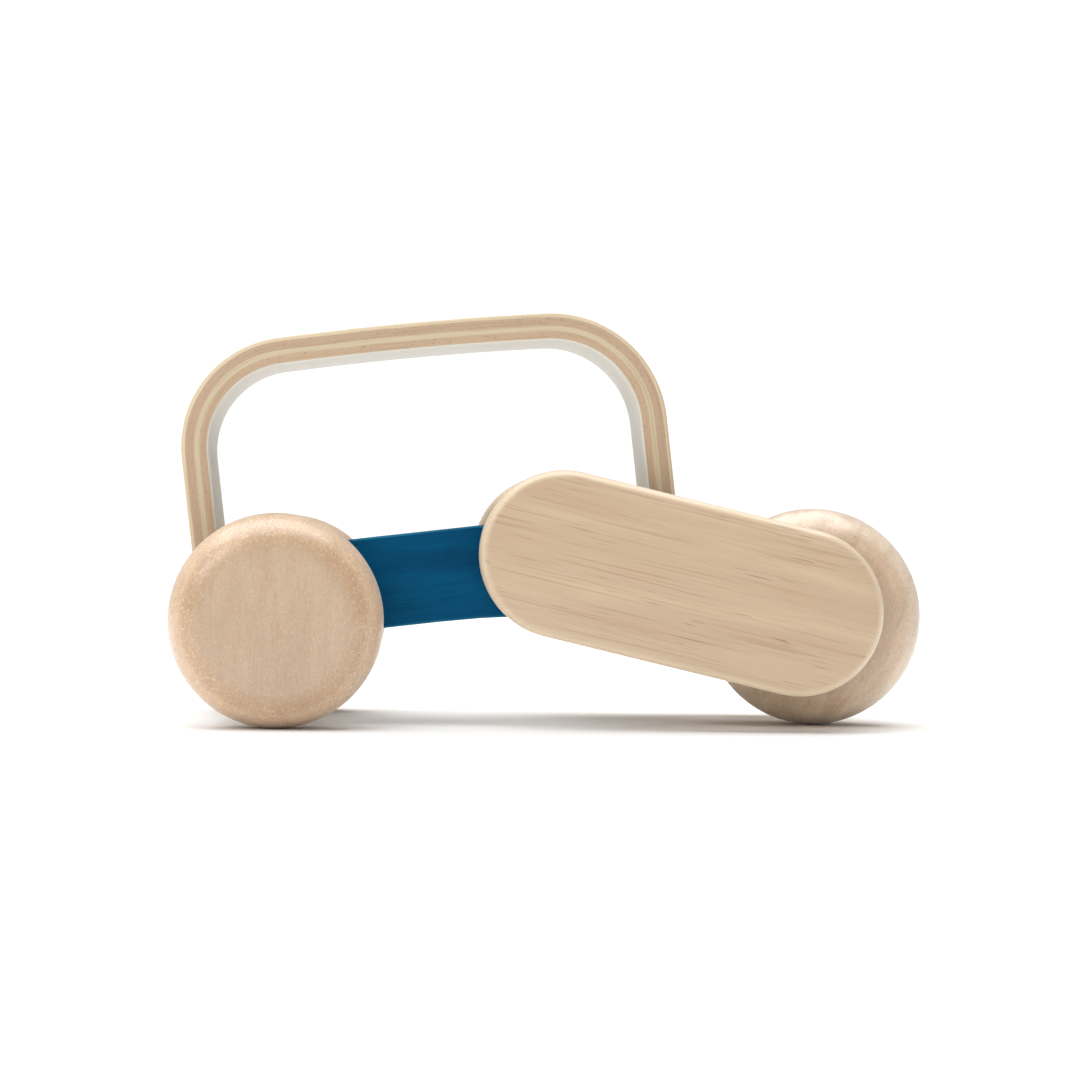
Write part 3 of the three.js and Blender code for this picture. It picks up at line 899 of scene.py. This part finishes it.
@dataclass
class RockingArm:
    """Two oblong blocks on a cross dowel, with the front axle between them."""

    length: float = 117.7 * MM
    width: float = 48.0 * MM
    thickness: float = 16.0 * MM
    arris: float = 3.0 * MM
    arris_steps: int = 8
    end_steps: int = 40
    pivot_bore: float = 6.3 * MM
    axle_bore: float = 3.3 * MM
    broken_edge: float = 0.25 * MM
    ring_segments: int = 64
    # each block is cut from its own length of board, so its grain is shifted
    grain_shift_along: float = 40 * MM
    grain_shift_up: float = 7 * MM
    home: Matrix = field(default_factory=lambda: pitched(ARM_PIVOT, ARM_PITCH))

    def stadium(self, inset: float) -> list[tuple[float, float]]:
        """Draws the outline of the oblong.

        Args:
            inset: How far it is set in from the edge.

        Returns:
            X and z of each point round it.
        """
        reach = self.length / 2 - self.width / 2
        radius = self.width / 2 - inset
        points = []
        for middle, start in ((reach, -math.pi / 2), (-reach, math.pi / 2)):
            for step in range(self.end_steps + 1):
                turn = start + math.pi * step / self.end_steps
                points.append((middle + radius * math.cos(turn), radius * math.sin(turn)))
        return points

    def block(self, label: str, side: int) -> bpy.types.Object:
        """One oblong block with softly rounded arrises.

        Args:
            label: near or far.
            side: -1 for near, +1 for far.

        Returns:
            The new block.
        """
        node = f"arm_block_{label}"
        middle = centre_of(node).y
        half = self.thickness / 2
        bend = quarter(self.arris_steps)
        upper = [(self.arris * (1 - s), half - self.arris * (1 - c)) for c, s in bend]
        levels = upper + [(inset, -y) for inset, y in reversed(upper)]
        solid = bmesh.new()
        rings = [[solid.verts.new((x, y, z)) for x, z in self.stadium(inset)] for inset, y in levels]
        join_rings(solid, rings)
        caps = [solid.faces.new(rings[0]), solid.faces.new(rings[-1])]
        home = self.home @ Matrix.Translation((0, middle, 0))
        shift = (side * self.grain_shift_along, 0, side * self.grain_shift_up)
        grain_home = home @ Matrix.Translation(shift)
        finish = PlanedRubberwood(name=f"planed_rubberwood_{label}").make(grain_home)
        piece = close_piece(solid, f"{node}_shaped", home, finish, caps=caps)
        attach(piece, node)
        return piece

    def ring(self, node: str, inner: float, finish: bpy.types.Material) -> bpy.types.Object:
        """A washer, spacer or bush turned to a ring with lightly broken edges.

        Args:
            node: The CAD ring that it stands for.
            inner: Radius of its bore.
            finish: Its material.

        Returns:
            The new ring.
        """
        low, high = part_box(node)
        outer = (high.x - low.x) / 2
        half = (high.y - low.y) / 2
        edge = self.broken_edge
        upper = [(inner, half), (outer - edge, half), (outer, half - edge)]
        lower = [(radius, -y) for radius, y in reversed(upper)]
        home = Matrix.Translation(centre_of(node))
        section = lathe([*upper, *lower], self.ring_segments)
        piece = close_piece(section, f"{node}_turned", home, finish)
        attach(piece, node)
        return piece

    def build(self) -> None:
        """Builds the blocks and rings and dresses the kept shafts."""
        dowel = Stock.DOWEL.value.make(self.home)
        steel = Stock.STEEL.value.make(self.home)
        nylon = Stock.NYLON.value.make(self.home)
        cork = Stock.CORK.value.make(self.home)
        for label, side in SIDES.items():
            self.block(label, side)
            self.ring(f"friction_washer_{label}", self.pivot_bore, cork)
            self.ring(f"front_washer_{label}", self.axle_bore, nylon)
            self.ring(f"front_spacer_{label}", self.axle_bore, dowel)
            self.ring(f"rear_washer_{label}", self.axle_bore, nylon)
        self.ring("front_wheel_bush", self.axle_bore, nylon)
        dress("pivot_dowel", dowel)
        for node in ("front_axle", "rear_axle", "stop_pin"):
            dress(node, steel)


# ------------------------------------------------------------------ studio


@dataclass
class Studio:
    """Pale floor, soft lights and the camera."""

    stand_off: float = 0.708
    left_of_axis: float = 74.8 * MM
    below_axis: float = 22.8 * MM
    azimuth: float = math.radians(3.0)
    tilt: float = math.radians(0.115)
    roll: float = math.radians(-0.8)
    lens_mm: float = 83.33
    sensor_mm: float = 36.0
    nearest: float = 10 * MM
    floor_size: float = 60.0
    fill: float = 0.36
    backdrop: float = 1.1
    top_light: float = 3.5
    top_spread: float = math.radians(75)
    top_lean: tuple[float, float, float] = (math.radians(-8), math.radians(-6), 0.0)
    key_watts: float = 3.8
    key_size: float = 0.6
    key_place: tuple[float, float, float] = (-0.9, -0.7, 0.75)
    key_aim: tuple[float, float, float] = (0.0, 0.0, 0.04)

    def camera(self) -> None:
        """Stands the camera off the near rear wheel, a little to its right and just above it."""
        ahead = Vector((
            math.sin(self.azimuth) * math.cos(self.tilt),
            math.cos(self.azimuth) * math.cos(self.tilt),
            -math.sin(self.tilt),
        ))
        level = Vector((math.cos(self.azimuth), -math.sin(self.azimuth), 0))
        upright = level.cross(ahead)
        right = level * math.cos(self.roll) - upright * math.sin(self.roll)
        up = right.cross(ahead)
        wheel = centre_of("rear_wheel_near")
        place = wheel - ahead * self.stand_off + right * self.left_of_axis + up * self.below_axis
        turn = Matrix((right, up, -ahead)).transposed().to_4x4()
        data = bpy.data.cameras.new("camera")
        data.lens = self.lens_mm
        data.sensor_width = self.sensor_mm
        data.clip_start = self.nearest
        camera = bpy.data.objects.new("camera", data)
        camera.matrix_world = Matrix.Translation(place) @ turn
        bpy.context.scene.collection.objects.link(camera)
        bpy.context.scene.camera = camera

    def softbox(self, name: str, place: Vector, aim: Vector, size: float, watts: float) -> None:
        """Adds a square area light.

        Args:
            name: The light's name.
            place: Where it hangs.
            aim: What it faces.
            size: Its side in metres.
            watts: Its power.
        """
        data = bpy.data.lights.new(name, "AREA")
        data.size = size
        data.energy = watts
        light = bpy.data.objects.new(name, data)
        light.location = place
        light.rotation_euler = (aim - place).to_track_quat("-Z", "Y").to_euler()
        bpy.context.scene.collection.objects.link(light)

    def floor(self) -> None:
        """Lays a wide, plain, nearly white floor."""
        sheet = bmesh.new()
        bmesh.ops.create_grid(sheet, x_segments=1, y_segments=1, size=self.floor_size / 2)
        paint = bpy.data.materials.new("floor_paint")
        paint.use_nodes = True
        shader = paint.node_tree.nodes["Principled BSDF"]
        shader.inputs["Base Color"].default_value = linear("#F8F8F8")
        shader.inputs["Roughness"].default_value = 0.9
        shader.inputs["Specular IOR Level"].default_value = 0.1
        close_piece(sheet, "floor", Matrix.Identity(4), paint)

    def surround(self) -> None:
        """Dim white surround that fills the shadows, in front of a plain white backdrop."""
        world = bpy.data.worlds.new("studio_white")
        world.use_nodes = True
        tree = world.node_tree
        tree.nodes.clear()
        white = linear("#FFFFFF")
        fill = add_node(tree, "Background", {"Color": white, "Strength": self.fill})
        backdrop = add_node(tree, "Background", {"Color": white, "Strength": self.backdrop})
        path = add_node(tree, "LightPath")
        inputs = {0: path.outputs["Is Camera Ray"], 1: fill.outputs[0], 2: backdrop.outputs[0]}
        mixed = add_node(tree, "MixShader", inputs)
        add_node(tree, "OutputWorld", {"Surface": mixed.outputs[0]})
        bpy.context.scene.world = world

    def sky_panel(self) -> None:
        """Hangs a very wide soft light overhead, even over the whole floor."""
        data = bpy.data.lights.new("overhead", "SUN")
        data.energy = self.top_light
        data.angle = self.top_spread
        light = bpy.data.objects.new("overhead", data)
        light.rotation_euler = self.top_lean
        bpy.context.scene.collection.objects.link(light)

    def build(self) -> None:
        """Builds the whole studio."""
        self.camera()
        self.floor()
        self.surround()
        self.sky_panel()
        place = Vector(self.key_place)
        self.softbox("key", place, Vector(self.key_aim), self.key_size, self.key_watts)
        bpy.context.scene.view_settings.view_transform = "Standard"


# ------------------------------------------------------------------ main


def main() -> None:
    """Builds every sub-assembly in order and notes the size of the result."""
    logging.basicConfig(level=logging.INFO, format="%(message)s")
    Studio().build()
    log.info("studio ready")
    HandHoop().build()
    RailFrame().build()
    log.info("rail frame dressed")
    wheels = [BunWheel(f"rear_wheel_{label}", bore_side=-side) for label, side in SIDES.items()]
    wheels.append(BunWheel(
        "front_wheel",
        radius=32.4 * MM,
        thickness=28.0 * MM,
        bore_radius=4.9 * MM,
        bore_depth=None,
        grain_lean=math.radians(28),
        finish=TurnedRubberwood(
            name="turned_rubberwood_greyer",
            rim="#E0CAAF",
            shoulder="#D6BC9F",
            shade="#B5977E",
            fleck="#EAD7BC",
            fleck_share=0.5,
            figure_share=0.6,
            figure_mm=(5.0, 9.0, 45.0),
        ),
    ))
    for wheel in wheels:
        wheel.build()
    RockingArm().build()
    log.info("arm built")


if __name__ == "__main__":
    main()
